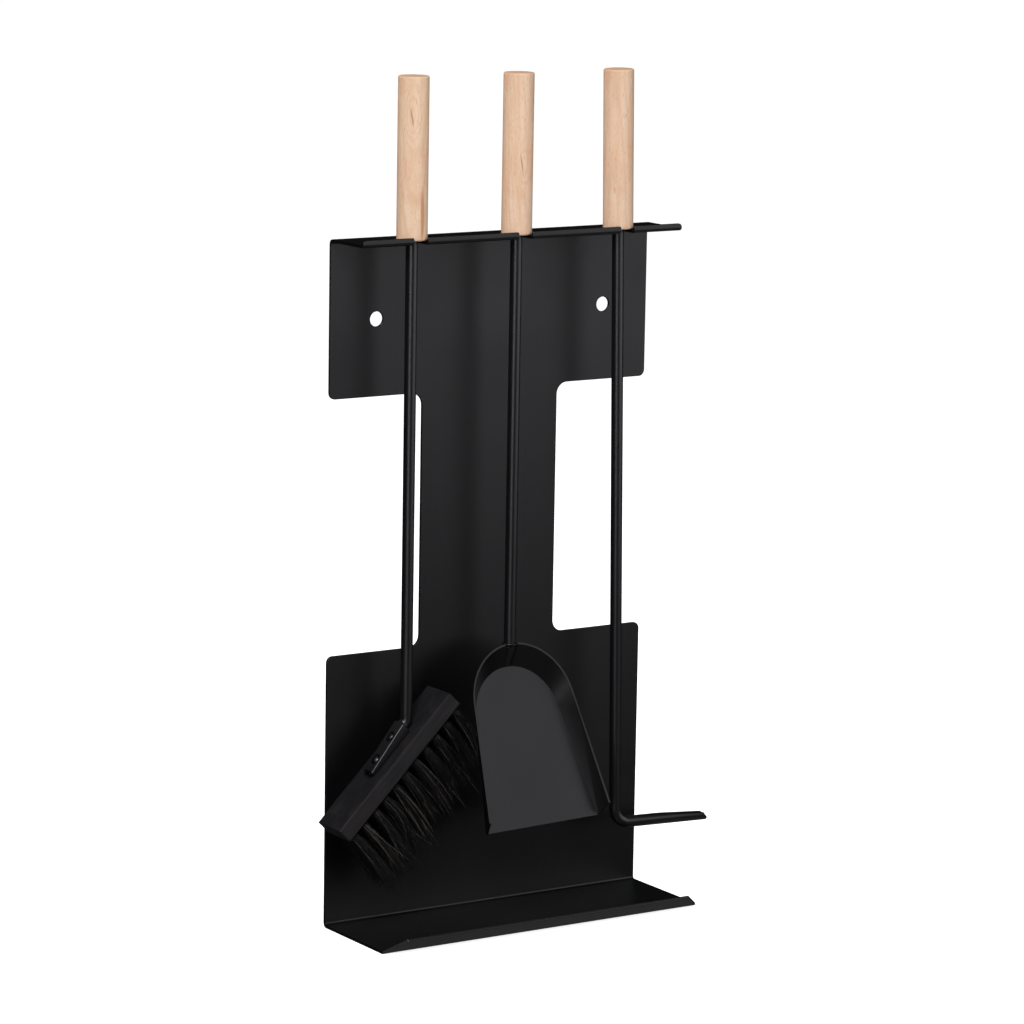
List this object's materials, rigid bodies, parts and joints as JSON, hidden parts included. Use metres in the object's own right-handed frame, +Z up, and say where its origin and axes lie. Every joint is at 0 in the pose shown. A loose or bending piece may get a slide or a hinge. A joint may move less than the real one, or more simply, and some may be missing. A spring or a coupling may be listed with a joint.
{
  "type": "fireplace tool set",
  "caption": "Fireplace tools hung in a slotted rail: hearth brush, ash shovel and hooked poker with wooden handles, on a stand bent from one black steel sheet with a tray foot and wall holes.",
  "frame": {"origin": "centre of the tray's flat underside, on the floor", "axes": "+Z up, +Y towards the wall behind the stand, +X to the right as the user faces it; the front faces -Y"},
  "size_m": [0.2959, 0.0885, 0.5706],
  "materials": {
    "stand_coat": "matt black powder coat with a fine texture",
    "rod_coat": "satin black paint",
    "pan_coat": "satin black coat on thin sheet",
    "handle_wood": "pale beech or rubberwood, sanded and thinly oiled",
    "block_wood": "black-stained wood, open grain",
    "bristle": "black-brown bristle fibre with a slight sheen",
    "insert_brass": "turned brass, hidden in the handle",
    "screw_steel": "blackened steel with worn edges"
  },
  "bodies": {
    "stand": {"stand_sheet": "stand_coat"},
    "brush": {"brush_handle": "handle_wood", "brush_insert": "insert_brass", "brush_rod": "rod_coat", "brush_screws": "screw_steel", "brush_block": "block_wood", "brush_tufts": "bristle", "brush_end_tufts": "bristle"},
    "shovel": {"shovel_handle": "handle_wood", "shovel_insert": "insert_brass", "shovel_rod": "rod_coat", "shovel_pan": "pan_coat", "shovel_weld": "rod_coat"},
    "poker": {"poker_handle": "handle_wood", "poker_insert": "insert_brass", "poker_rod": "rod_coat"}
  },
  "joints": [
    {"name": "brush_lift", "type": "slide", "parent": "stand", "child": "brush", "axis": [0, -0.342, 0.9397], "range_m": [0, 0.12], "deforming": ["brush_end_tufts"]},
    {"name": "shovel_lift", "type": "slide", "parent": "stand", "child": "shovel", "axis": [0, -0.342, 0.9397], "range_m": [0, 0.12]},
    {"name": "poker_lift", "type": "slide", "parent": "stand", "child": "poker", "axis": [0, -0.342, 0.9397], "range_m": [0, 0.12]}
  ]
}
